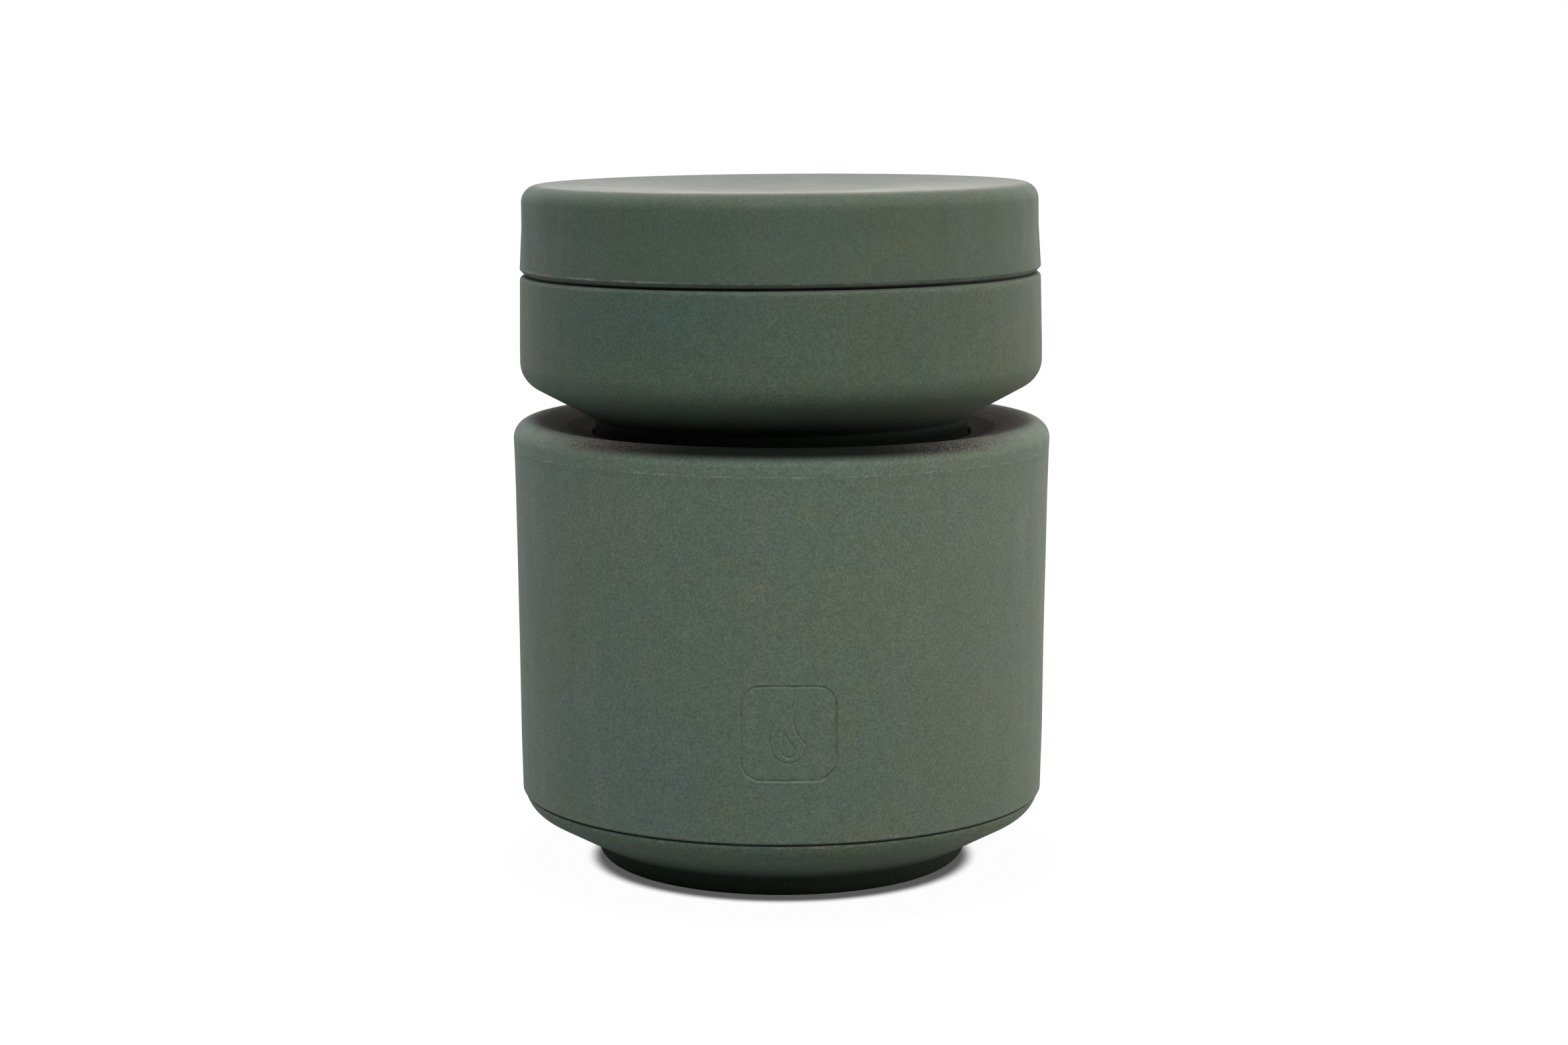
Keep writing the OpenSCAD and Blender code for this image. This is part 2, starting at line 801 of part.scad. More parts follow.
module pan() {
    rim_round = 1.8;
    in_foot_r = foot_r - pan_foot_in;
    in_cone_z = inner_cone_z(pan_z + pan_foot_h, pan_foot_in, pan_wall);
    outside = bowl_side(foot_r, pan_z, pan_z + pan_foot_h, pan_r, corner_r, 4, pan_rim_z);
    inside = bowl_side(in_foot_r, pan_z + pan_floor_t, in_cone_z, pan_in_r, corner_r - pan_wall, 3, pan_rim_z);
    rim_r = pan_r - pan_lean;
    rim_in_r = pan_in_r - pan_lean;
    color("#4d5c50")
        difference() {
            rotate_extrude()
                polygon(concat(
                    [[0, pan_z]],
                    outside,
                    arc(rim_r - rim_round, pan_rim_z - rim_round, rim_round, 0, 90, 4),
                    arc(rim_in_r + rim_round, pan_rim_z - rim_round, rim_round, 90, 180, 4),
                    [for (i = [len(inside) - 1:-1:0]) inside[i]],
                    [[0, pan_z + pan_floor_t]]
                ));
            translate([0, 0, pan_z - cut])
                cylinder(r = foot_r - 14, h = cut + 1.2);
        }
}

module lid() {
    top_r = lid_r - lid_lean;
    edge_r = top_r - lid_edge_r;
    // A shallow hollow: the arc falls by lid_hollow between the edge and the centre
    bowl_r = (pow(edge_r, 2) + pow(lid_hollow, 2)) / (2 * lid_hollow);
    bowl_a = asin(edge_r / bowl_r);
    color("#4d5a51")
        rotate_extrude()
            polygon(concat(
                [[lid_in_r, lid_z - lid_spigot_h], [lid_spigot_r, lid_z - lid_spigot_h], [lid_spigot_r, lid_z]],
                [[lid_r - lid_chamfer, lid_z], [lid_r, lid_z + lid_chamfer]],
                [[top_r, lid_z + lid_h / 2]],
                arc(edge_r, lid_top_z - lid_edge_r, lid_edge_r, 0, 90),
                arc(0, lid_top_z - lid_hollow + bowl_r, bowl_r, bowl_a - 90, -90, 10),
                [[0, lid_top_z - lid_hollow - lid_wall]],
                arc(lid_in_r - 12, lid_top_z - lid_hollow - lid_wall - 12, 12, 90, 0, 6)
            ));
}

module lid_seal() {
    color("#23282a")
        translate([0, 0, pan_rim_z + rest_gap])
            difference() {
                cylinder(r = lid_r - 4, h = lid_gap - rest_gap);
                translate([0, 0, -cut])
                    cylinder(r = lid_spigot_r + hole_gap, h = lid_gap + 2 * cut);
            }
}

ash_dish();
foot_ring();
dish_seal();
drum_shell();
chamber_floor();
burn_chamber();
feed_tube();
lower_insulation();
upper_insulation();
insulation_cover();
tie_rods();
tie_washers();
tie_nuts();
fire_grate();
fuel_shelf();
port_frame();
port_gasket();
frame_screws();
hinge_pin();
fuel_door();
door_gasket();
door_knob();
knob_stud();
shutter_rails();
rail_rivets();
air_shutter();
shutter_knob();
pot_ring();
pan();
lid();
lid_seal();
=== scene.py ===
import bpy
import bmesh
import math
from mathutils import Matrix, Vector, noise


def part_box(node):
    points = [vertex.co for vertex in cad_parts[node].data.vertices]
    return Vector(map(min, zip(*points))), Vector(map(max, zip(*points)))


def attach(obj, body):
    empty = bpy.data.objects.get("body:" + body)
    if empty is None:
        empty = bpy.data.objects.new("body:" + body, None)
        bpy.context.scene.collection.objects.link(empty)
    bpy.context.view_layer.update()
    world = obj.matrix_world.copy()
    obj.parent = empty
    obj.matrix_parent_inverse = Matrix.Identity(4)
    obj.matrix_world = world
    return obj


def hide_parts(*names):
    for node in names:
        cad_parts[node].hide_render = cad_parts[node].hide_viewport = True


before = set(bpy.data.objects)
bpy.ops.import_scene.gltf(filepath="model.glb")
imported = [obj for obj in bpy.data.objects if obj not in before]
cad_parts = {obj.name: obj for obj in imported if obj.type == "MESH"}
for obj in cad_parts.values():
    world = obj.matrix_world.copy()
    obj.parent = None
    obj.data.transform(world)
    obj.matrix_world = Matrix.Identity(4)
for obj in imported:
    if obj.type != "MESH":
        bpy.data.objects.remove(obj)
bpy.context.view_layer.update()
mm = 0.001


camera = {
    "lens": 72.72,           # on a 36 mm wide sensor
    "back": 1.4723,          # in front of the drum's axis
    "height": 0.3764,
    "tilt": 8.394,           # degrees below level
    "turn": -0.042,          # the axis stands a hair left of the middle
}


def placeCamera(settings):
    data = bpy.data.cameras.new("stoveCamera")
    data.lens = settings["lens"]
    data.sensor_width = 36
    eye = bpy.data.objects.new("stoveCamera", data)
    eye.location = (0, -settings["back"], settings["height"])
    eye.rotation_euler = (math.radians(90 - settings["tilt"]), 0, math.radians(settings["turn"]))
    bpy.context.scene.collection.objects.link(eye)
    bpy.context.scene.camera = eye
    print("camera placed")


placeCamera(camera)


class Wire:                                  # a node's output that can stand in a sum
    def __init__(self, bench, socket):
        self.bench = bench
        self.socket = socket

    def sum(self, operation, first, second):
        return self.bench.node("Math", {"operation": operation}, {0: first, 1: second})

    def __add__(self, other):
        return self.sum("ADD", self, other)

    def __radd__(self, other):
        return self.sum("ADD", other, self)

    def __sub__(self, other):
        return self.sum("SUBTRACT", self, other)

    def __rsub__(self, other):
        return self.sum("SUBTRACT", other, self)

    def __mul__(self, other):
        return self.sum("MULTIPLY", self, other)

    def __rmul__(self, other):
        return self.sum("MULTIPLY", other, self)

    def __pow__(self, other):
        return self.sum("POWER", self, other)

    def __gt__(self, other):
        return self.sum("GREATER_THAN", self, other)

    def ramp(self, low, high, lowValue=0.0, highValue=1.0):   # smooth step between two values
        return self.bench.node("MapRange", {"interpolation_type": "SMOOTHSTEP"},
                               {0: self, 1: low, 2: high, 3: lowValue, 4: highValue})


class Bench:                                 # where one material's nodes are made
    def __init__(self, tree):
        self.tree = tree
        tree.nodes.clear()

    def node(self, kind, settings=None, inputs=None, out=0):
        made = self.tree.nodes.new("ShaderNode" + kind)
        for key, value in (settings or {}).items():
            setattr(made, key, value)
        for key, value in (inputs or {}).items():
            if isinstance(value, Wire):
                self.tree.links.new(value.socket, made.inputs[key])
            else:
                made.inputs[key].default_value = value
        return Wire(self, made.outputs[out])

    def blend(self, share, first, second, how="MIX"):          # mixes two colours
        first = first if isinstance(first, Wire) else (*first, 1)
        second = second if isinstance(second, Wire) else (*second, 1)
        settings = {"data_type": "RGBA", "blend_type": how}
        return self.node("Mix", settings, {0: share, 6: first, 7: second}, 2)

    def place(self, stretch=(1, 1, 1)):                        # the piece's own coordinates
        here = self.node("TexCoord", out=3)
        if stretch == (1, 1, 1):
            return here
        return self.node("VectorMath", {"operation": "MULTIPLY"}, {0: here, 1: stretch})

    def cloud(self, size, detail=3.0, rough=0.55, stretch=(1, 1, 1), warp=0.0):   # size in metres
        return self.node("TexNoise", None, {"Vector": self.place(stretch), "Scale": 1 / size,
                                            "Detail": detail, "Roughness": rough, "Distortion": warp})

    def axes(self):
        split = self.node("SeparateXYZ", None, {0: self.place()})
        outs = split.socket.node.outputs
        return [Wire(self, outs[i]) for i in range(3)]

    def bump(self, height, strength, depth, under=None):
        inputs = {"Strength": strength, "Distance": depth, "Height": height}
        if under:
            inputs["Normal"] = under
        return self.node("Bump", None, inputs)


def finish(bench, shader, kind="OutputMaterial"):
    end = bench.tree.nodes.new("ShaderNode" + kind)
    bench.tree.links.new(shader.socket, end.inputs[0])


studio = {
    "front": 0.02,           # the room behind the camera is dark
    "back": 1.0,             # a white wall behind the stove
    "ceiling": 0.55,
    "rightMore": 0.25,
    "shadow": (0.010, 0.42, 0.93, 0.10),     # painted contact shadow on the floor: how far it reaches, from and to which openness, how dark
    # a wider, fainter painted shadow on the floor, with the same four values
    "paintedSoftShadow": (0.04, 0.5, 0.9, 0.978),
    "floorBounce": 0.37,
}


def paintWorld(settings):
    world = bpy.data.worlds.new("studio")
    bpy.context.scene.world = world
    world.use_nodes = True
    bench = Bench(world.node_tree)
    split = bench.node("SeparateXYZ", None, {0: bench.node("TexCoord")}).socket.node.outputs
    side, depth, up = (Wire(bench, split[i]) for i in range(3))
    wall = depth.ramp(-0.2, 0.5, settings["front"], settings["back"]) * (1 + side * settings["rightMore"])
    ceiling = up.ramp(0.2, 0.8, 0.0, settings["ceiling"])
    glow = bench.node("Background", None, {0: (1, 1, 1, 1), 1: wall + ceiling})
    white = bench.node("Background", None, {0: (1, 1, 1, 1), 1: 1.0})
    both = bench.node("MixShader", None, {0: bench.node("LightPath"), 1: glow, 2: white})
    finish(bench, both, "OutputWorld")


lamps = {
    "front": {"at": (0.15, -1.0, 1.2), "aim": (0, 0, 0.16), "size": 1.1, "power": 11.0},
    "right": {"at": (1.5, -0.35, 0.75), "aim": (0, 0, 0.16), "size": 0.8, "power": 5},
}


def hangLamps(settings):
    for name, lamp in settings.items():
        data = bpy.data.lights.new(name, "AREA")
        data.shape = "DISK"
        data.size = lamp["size"]
        data.energy = lamp["power"]
        bulb = bpy.data.objects.new(name, data)
        bulb.location = lamp["at"]
        aim = Vector(lamp["aim"]) - Vector(lamp["at"])
        bulb.rotation_euler = aim.to_track_quat("-Z", "Y").to_euler()
        bpy.context.scene.collection.objects.link(bulb)


def newMaterial(name):
    material = bpy.data.materials.new(name)
    material.use_nodes = True
    return material, Bench(material.node_tree)


def layFloor(settings):
    bpy.ops.mesh.primitive_plane_add(size=6)
    floor = bpy.context.object
    floor.name = "floor"
    material, bench = newMaterial("paleFloor")
    shade = 1
    # the camera sees the floor as an even white glow, darkened near the stove by painted shadows from ambient
    # occlusion
    for reach, closed, free, dark in (settings["shadow"], settings["paintedSoftShadow"]):
        openness = bench.node("AmbientOcclusion", None, {"Distance": reach}, 1)
        shade = openness.ramp(closed, free, dark, 1.0) * shade
    bright = bench.node("Emission", None, {0: bench.blend(shade, (0, 0, 0), (1, 1, 1)), 1: 1.0})
    bounce = settings["floorBounce"]
    dim = bench.node("BsdfDiffuse", None, {0: (bounce, bounce, bounce, 1)})
    finish(bench, bench.node("MixShader", None, {0: bench.node("LightPath"), 1: dim, 2: bright}))
    floor.data.materials.append(material)


bpy.context.scene.view_settings.view_transform = "Standard"
paintWorld(studio)
hangLamps(lamps)
layFloor(studio)
print("studio lit")


def softOutline(corners):
    # corners are (radius, height, rounding) in mm; each rounding becomes an arc
    points = [Vector((r * mm, z * mm)) for r, z, _ in corners]
    rounds = [c[2] * mm for c in corners]
    line = []
    for i, here in enumerate(points):
        if i in (0, len(points) - 1) or rounds[i] == 0:
            line.append(here)
            continue
        back = (points[i - 1] - here).normalized()
        ahead = (points[i + 1] - here).normalized()
        half = math.acos(max(-1, min(1, back.dot(ahead)))) / 2
        if half > math.radians(89.5):
            line.append(here)
            continue
        reach = rounds[i] / math.tan(half)
        centre = here + (back + ahead).normalized() * (rounds[i] / math.sin(half))
        start, end = here + back * reach - centre, here + ahead * reach - centre
        turn = math.atan2(start.x * end.y - start.y * end.x, start.dot(end))
        count = max(4, min(16, math.ceil(abs(turn) / math.radians(7))))
        for k in range(count + 1):
            angle = turn * k / count
            line.append(centre + Matrix.Rotation(angle, 2) @ start)
    return line


def splitLong(line, longest):                # adds points so that no step is longer than this
    out = [line[0]]
    for a, b in zip(line, line[1:]):
        count = max(1, math.ceil((b - a).length / longest))
        out += [a.lerp(b, k / count) for k in range(1, count + 1)]
    return out


def evenAngles(count):
    return [2 * math.pi * i / count for i in range(count)]


def makeObject(name, mesh):                  # a bmesh becomes an object in the scene
    bmesh.ops.recalc_face_normals(mesh, faces=mesh.faces)
    data = bpy.data.meshes.new(name)
    mesh.to_mesh(data)
    mesh.free()
    piece = bpy.data.objects.new(name, data)
    bpy.context.scene.collection.objects.link(piece)
    return piece


def turnPiece(name, line, angles, closed=False, shape=None):
    # turns an outline about the axis; shape may move a point, given its radius, height and angle
    mesh = bmesh.new()
    rings = []
    for p in line:
        if p.x < 1e-7:
            rings.append([mesh.verts.new((0, 0, p.y))])
            continue
        ring = []
        for a in angles:
            r, z = shape(p.x, p.y, a) if shape else (p.x, p.y)
            ring.append(mesh.verts.new((r * math.sin(a), -r * math.cos(a), z)))
        rings.append(ring)
    pairs = list(zip(rings, rings[1:]))
    if closed:
        pairs.append((rings[-1], rings[0]))
    count = len(angles)
    for low, high in pairs:
        for i in range(count):
            j = (i + 1) % count
            corners = [low[i % len(low)], low[j % len(low)], high[j % len(high)], high[i % len(high)]]
            corners = [v for k, v in enumerate(corners) if v not in corners[:k]]
            if len(corners) > 2:
                mesh.faces.new(corners)
    piece = makeObject(name, mesh)
    smooth(piece)
    return piece


def smooth(piece, angle=40):
    for face in piece.data.polygons:
        face.use_smooth = True
    piece.data.set_sharp_from_angle(angle=math.radians(angle))


def handMade(amount, seed, reach=0.045):     # slight unevenness of a casting, only ever inwards
    def move(r, z, a):
        spot = Vector((math.sin(a) * r, math.cos(a) * r, z)) / reach + Vector((seed, seed, seed))
        push = (noise.noise(spot) * 0.5 + 0.5) * amount * mm
        return r - push, z
    return move


def radiusOf(node):
    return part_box(node)[1].x / mm


def top(node):
    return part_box(node)[1].z / mm


def bottom(node):
    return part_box(node)[0].z / mm


form = {                                     # shared by the turned pieces, in mm and degrees
    "foot": radiusOf("pot_ring") - 0.2,      # the pan's foot is a hair narrower than the ring it stands on
    "slope": 28.5,
    "corner": 13,
    "row": 6,                                # longest step along any outline
}


def rise(run):                               # how far the underside climbs over a run
    return run * math.tan(math.radians(form["slope"]))


dish = {
    "footHeight": 9.9, "footRound": 8, "wall": 8, "lip": 0.7, "spigot": 5, "spigotOut": 113.5,
    "padWidth": 10.1, "uneven": 0.12, "columns": 320,
}


def makeDish(settings):
    rim = bottom("dish_seal")
    out, foot = radiusOf("ash_dish"), form["foot"]
    low = bottom("ash_dish")
    inFoot = foot - settings["wall"]
    inSide = settings["spigotOut"] - settings["spigot"]
    slope, corner = math.radians(form["slope"]), form["corner"]
    cone = settings["footHeight"]
    inCone = cone - rise(settings["wall"]) + settings["wall"] / math.cos(slope)
    pad, padTop = radiusOf("foot_ring") + 0.05, top("foot_ring")
    padIn = pad - settings["padWidth"]
    corners = [
        (0, low, 0), (padIn, low, 0.3), (padIn, padTop, 0), (pad, padTop, 0), (pad, low, 0.3),
        (foot, low, settings["footRound"]), (foot, cone, 1.2),
    ]
    centreZ = cone + (corner + (out - corner - foot) * math.sin(slope)) / math.cos(slope)
    first, last = slope - math.pi / 2, math.asin((rim - settings["lip"] - centreZ) / corner)
    steps = 12
    for k in range(steps + 1):               # the rounded side, cut off level by the seam
        a = first + (last - first) * k / steps
        corners.append((out - corner + corner * math.cos(a), centreZ + corner * math.sin(a), 0))
    edge = corners[-1][0]
    corners += [
        (edge - 0.1, rim, settings["lip"] * 0.6), (settings["spigotOut"], rim, 0.4),
        (settings["spigotOut"], top("ash_dish"), 0.8), (inSide, top("ash_dish"), 0.8),
        (inSide, inCone + rise(inSide - inFoot), 5), (inFoot, inCone, 1.5), (inFoot, settings["wall"], 2),
        (0, settings["wall"], 0),
    ]
    line = splitLong(softOutline(corners), form["row"] * mm)
    shape = handMade(settings["uneven"], 3)
    return turnPiece("ash_dish_cast", line, evenAngles(settings["columns"]), shape=shape)


pan = {
    "footHeight": 14, "footWall": 8, "wall": 6.7, "floor": 8.7, "straight": 14, "lean": 0.7, "rimRound": 1.8,
    "hollow": 14, "hollowDeep": 1.2, "uneven": 0.15, "columns": 320,
}


def makePan(settings):
    low, rim, out, foot = bottom("pan"), top("pan"), radiusOf("pan"), form["foot"]
    cone = low + settings["footHeight"]
    inFoot, inSide = foot - settings["footWall"], out - settings["wall"]
    inCone = cone - rise(settings["footWall"]) + settings["wall"] / math.cos(math.radians(form["slope"]))
    hollowR, hollowTop = foot - settings["hollow"], low + settings["hollowDeep"]
    corners = [
        (0, hollowTop, 0), (hollowR, hollowTop, 0.5), (hollowR, low, 0.5),
        (foot, low, 4), (foot, cone, 1.5),
        (out, cone + rise(out - foot), form["corner"]),
        (out - 0.05, cone + rise(out - foot) + settings["straight"], 0),
        (out - settings["lean"], rim, settings["rimRound"]),
        (inSide - settings["lean"], rim, settings["rimRound"]),
        (inSide, inCone + rise(inSide - inFoot), form["corner"] - settings["wall"]),
        (inFoot, inCone, 3), (inFoot, low + settings["floor"], 3), (0, low + settings["floor"], 0),
    ]
    line = splitLong(softOutline(corners), form["row"] * mm)
    shape = handMade(settings["uneven"], 11)
    return turnPiece("pan_cast", line, evenAngles(settings["columns"]), shape=shape)


lid = {
    "lean": 1.2, "leanFrom": 21, "chamfer": 1.8, "edge": 7.6, "hollow": 3.8, "wall": 8, "sealWidth": 3.25,
    "uneven": 0.15, "columns": 320,
}


def makeLid(settings):
    low, high, out = bottom("lid"), top("lid"), radiusOf("lid")
    seat = top("lid_seal")
    spigot = radiusOf("lid_seal") - settings["sealWidth"]
    topR = out - settings["lean"]
    edgeR = topR - settings["edge"]
    inR = spigot - settings["wall"]
    ceiling = high - settings["hollow"] - settings["wall"]
    corners = [
        (0, ceiling, 0), (inR, ceiling, 12), (inR, low, 1), (spigot, low, 1.5), (spigot, seat, 0.5),
        (out - settings["chamfer"], seat, 0.4), (out, seat + settings["chamfer"], 0.5),
        (topR + 0.1, seat + settings["leanFrom"], 30),
        (topR, high - settings["edge"], 0),
    ]
    line = softOutline(corners)
    edge, steps = settings["edge"], 12
    for k in range(1, steps + 1):            # the rounded edge
        a = math.pi / 2 * k / steps
        line.append(Vector((edgeR + edge * math.cos(a), high - edge * (1 - math.sin(a)))) * mm)
    steps = 24
    for k in range(1, steps + 1):            # the hollow, flat at the middle and at the crest
        share = k / steps
        fall = settings["hollow"] * (0.5 - 0.5 * math.cos(math.pi * share))
        line.append(Vector((edgeR * (1 - share), high - fall)) * mm)
    line = splitLong(line, form["row"] * mm)
    shape = handMade(settings["uneven"], 23)
    return turnPiece("lid_cast", line, evenAngles(settings["columns"]), shape=shape)


drum = {
    "taper": 2.6, "wall": 12.4, "shoulder": 8.1, "drop": 5.6, "edge": 1.0,
    "mouthGap": 1.0, "ledge": 14.2, "ringThick": 5.9, "ringGap": 0.2, "seatThick": 18,
    "rebate": 114.1, "rebateTop": 41.4,      # where the dish's spigot goes in
    "ridge": 0.06, "ridgeBelow": 11.6,       # two fine raised rings under the shoulder
    "uneven": 0.15, "markColumns": 190, "otherColumns": 180,
}


mark = {                                     # the pressed flame on the drum's front
    "size": 42, "round": 9, "middle": 84.2, "turn": 1.4, "soft": 0.3, "row": 0.25,
    "depth": 0.12, "groove": 0.55, "grooveWidth": 0.45, "flame": 16, "flameDown": 5.5,
    "ragged": 0.25,                          # how uneven the die left the frame's rim
}


def boxDistance(x, z, half, radius):         # signed distance to a rounded square
    dx, dz = abs(x) - half + radius, abs(z) - half + radius
    return math.hypot(max(dx, 0), max(dz, 0)) + min(max(dx, dz), 0) - radius


def dropDistance(x, z, radius, height):      # signed distance to a drop that narrows upwards
    if z <= 0:
        return math.hypot(x, z) - radius
    reach = math.sqrt(height * height - radius * radius)
    sine, cosine = radius / height, reach / height
    across = abs(x) * cosine + (z - height) * sine
    along = abs(x) * -sine + (z - height) * cosine
    if along < -reach:
        return math.hypot(x, z) - radius
    return across if along < 0 else math.hypot(x, z - height)


def flameDistance(x, z, size):               # a tall bent drop with a smaller one cut out of its foot
    high = max(0.0, z / size)
    lean = x + size * (0.20 * math.sin(high * 3.0) - 0.10 * high)
    body = dropDistance(lean, z, size * 0.46, size * 1.25)
    heart = dropDistance(x + size * 0.10 * math.sin(high * 5), z + size * 0.14, size * 0.2, size * 0.56)
    return max(body, -heart)


def pressMark(settings, even, base):         # how the drum's points move where the mark is pressed
    turn = math.radians(settings["turn"])
    soft = settings["soft"]

    def move(r, z, a):
        r, z = even(r, z, a)
        around = (a - turn + math.pi) % (2 * math.pi) - math.pi
        x = around * r / mm
        h = z / mm - settings["middle"]
        if r / mm < base * 0.96 or max(abs(x), abs(h)) > settings["size"] / 2 + 5:
            return r, z
        ragged = noise.noise(Vector((x / 5, h / 5, 4)))
        edge = boxDistance(x, h, settings["size"] / 2, settings["round"]) + settings["ragged"] * ragged
        flame = flameDistance(x, h + settings["flameDown"], settings["flame"])
        inside = max(0.0, min(1.0, 0.5 - edge / soft))
        raised = max(0.0, min(1.0, 0.5 - flame / soft))
        rim = math.exp(-(edge / settings["grooveWidth"]) ** 2) * (0.8 + 0.8 * ragged)
        lip = 0.3 * math.exp(-((edge - 1.0) / 0.5) ** 2) * (0.6 + ragged)
        sunk = settings["depth"] * inside * (1 - 1.6 * raised) + settings["groove"] * (rim - lip)
        sunk += 0.5 * settings["groove"] * math.exp(-((flame - 0.2) / 0.4) ** 2)
        return r - sunk * mm, z
    return move


def makeDrum(settings, mark):
    low, high, out = bottom("drum_shell"), top("drum_shell"), radiusOf("drum_shell")
    ringOut, ringTop = radiusOf("pot_ring"), top("pot_ring")
    mouth = ringOut + settings["mouthGap"]
    seat = ringTop - settings["ringThick"] - settings["ringGap"]
    throat = mouth - settings["ledge"]
    deck = seat - settings["seatThick"]
    base = out - settings["taper"]
    cavity = base - settings["wall"]
    crest = out - settings["shoulder"]
    mouthTop = high - settings["drop"]
    markHalf = mark["size"] / 2 + 2
    ridge, ridgeZ = settings["ridge"], high - settings["ridgeBelow"]
    corners = [
        (settings["rebate"], low, 0.3), (base, low, settings["edge"]),
        (base + 0.6, mark["middle"] - markHalf, 0), (base + 0.95, mark["middle"] + markHalf, 0),
        (out - 0.7, high - 4 * settings["shoulder"], 0),
        (out - 0.2, ridgeZ - 1, 0), (out - 0.18 + ridge, ridgeZ - 0.6, 0), (out - 0.17, ridgeZ - 0.2, 0),
        (out - 0.15, ridgeZ + 0.2, 0), (out - 0.13 + ridge, ridgeZ + 0.6, 0), (out - 0.1, ridgeZ + 1, 0),
        (out, high - settings["shoulder"], 0),
    ]
    line = softOutline(corners)
    slope = math.atan2(settings["drop"], crest - mouth)
    steps = 14
    for k in range(1, steps + 1):            # the rounded shoulder
        a = (math.pi / 2 + slope) * k / steps
        arm = settings["shoulder"] * Vector((math.cos(a), math.sin(a)))
        line.append((Vector((crest, high - settings["shoulder"])) + arm) * mm)
    line += softOutline([
        (crest - 6, high - 6 * math.tan(slope), 0), (mouth, mouthTop, 1.5), (mouth, seat, 0.3),
        (throat, seat, 0.5), (throat, deck, 0.5), (cavity, deck, 1), (cavity, settings["rebateTop"], 0.3),
        (settings["rebate"], settings["rebateTop"], 0),
    ])
    rows = []
    for a, b in zip(line, line[1:]):         # close rows where the emblem is, wide ones elsewhere
        near = a.x > base * 0.96 * mm and abs((a.y + b.y) / 2 / mm - mark["middle"]) < markHalf
        rows += splitLong([a, b], (mark["row"] if near else form["row"]) * mm)[:-1]
    rows.append(line[-1])
    turn = math.radians(mark["turn"])
    span = (markHalf + 1) / base
    across, around = settings["markColumns"], settings["otherColumns"]
    fine = [turn - span + 2 * span * k / across for k in range(across + 1)]
    rest = [turn + span + (2 * math.pi - 2 * span) * k / around for k in range(1, around)]
    shape = pressMark(mark, handMade(settings["uneven"], 5), base)
    return turnPiece("drum_cast", rows, fine + rest, closed=True, shape=shape)


def roundCorners(half, radius):              # a rectangle with round corners, as (x, z) points
    ring = []
    for sideX, sideZ, start in ((1, 1, 0), (-1, 1, 90), (-1, -1, 180), (1, -1, 270)):
        for k in range(7):
            a = math.radians(start + 15 * k)
            corner = Vector((sideX * (half[0] - radius), sideZ * (half[1] - radius)))
            ring.append(corner + radius * Vector((math.cos(a), math.sin(a))))
    return ring


def roundedBlock(name, centre, size, radius, depth):
    # a block with round corners across Y: centre (x, z), size (w, h), depth (y0, y1), all in mm
    mesh = bmesh.new()
    ring = [Vector(centre) + p for p in roundCorners((size[0] / 2, size[1] / 2), radius)]
    near = [mesh.verts.new((x * mm, depth[0] * mm, z * mm)) for x, z in ring]
    far = [mesh.verts.new((x * mm, depth[1] * mm, z * mm)) for x, z in ring]
    mesh.faces.new(near)
    mesh.faces.new(list(reversed(far)))
    for i in range(len(ring)):
        j = (i + 1) % len(ring)
        mesh.faces.new((near[j], near[i], far[i], far[j]))
    return makeObject(name, mesh)


def combine(piece, other, how):              # a boolean that is applied at once
    step = piece.modifiers.new("cut", "BOOLEAN")
    step.operation = how
    step.object = other
    step.solver = "EXACT"
    bpy.context.view_layer.update()
    graph = bpy.context.evaluated_depsgraph_get()
    made = bpy.data.meshes.new_from_object(piece.evaluated_get(graph))
    piece.modifiers.clear()
    old = piece.data
    piece.data = made
    bpy.data.meshes.remove(old)
    bpy.data.objects.remove(other)


port = {"gap": 0.3, "bossThick": 11, "bossSide": 4, "bossOut": 4, "round": 6, "holeDeep": 30, "farOut": 160}


def openPort(piece, settings):
    low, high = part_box("port_gasket")
    seat = low.y / mm
    middle = ((low.x + high.x) / 2 / mm, (low.z + high.z) / 2 / mm)
    room = 2 * settings["gap"]
    size = ((high.x - low.x) / mm + room, (high.z - low.z) / mm + room)
    tubeLow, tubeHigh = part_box("feed_tube")
    tube = ((tubeHigh.x - tubeLow.x) / mm + room, (tubeHigh.z - tubeLow.z) / mm + room)
    bossSize = (size[0] + 2 * settings["bossSide"], size[1] + 2 * settings["bossSide"])
    bossDepth = (seat - settings["bossThick"], seat + settings["bossOut"])
    boss = roundedBlock("boss", middle, bossSize, 1, bossDepth)
    combine(piece, boss, "UNION")
    pocket = roundedBlock("pocket", middle, size, settings["round"], (seat, settings["farOut"]))
    combine(piece, pocket, "DIFFERENCE")
    hole = roundedBlock("hole", middle, tube, 0.5, (seat - settings["holeDeep"], settings["farOut"]))
    combine(piece, hole, "DIFFERENCE")
    smooth(piece, 35)


castGreen = {
    "pale": (0.100, 0.103, 0.101), "deep": (0.070, 0.107, 0.073), "teal": (0.062, 0.108, 0.084),
    # the dust colour is dust and painted highlights along edges; the grey colour lightens the sides as
    # painted sheen
    "olive": (0.090, 0.113, 0.050), "greySheen": (0.112, 0.116, 0.098), "dustAndHighlight": (0.19, 0.20, 0.18),
    # the dark colour is painted shade; the ash colour also lightens the lid's top as painted sheen
    "dark": (0.006, 0.008, 0.006), "brown": (0.075, 0.064, 0.056), "ash": (0.33, 0.315, 0.29),
    "rough": 0.62,
}


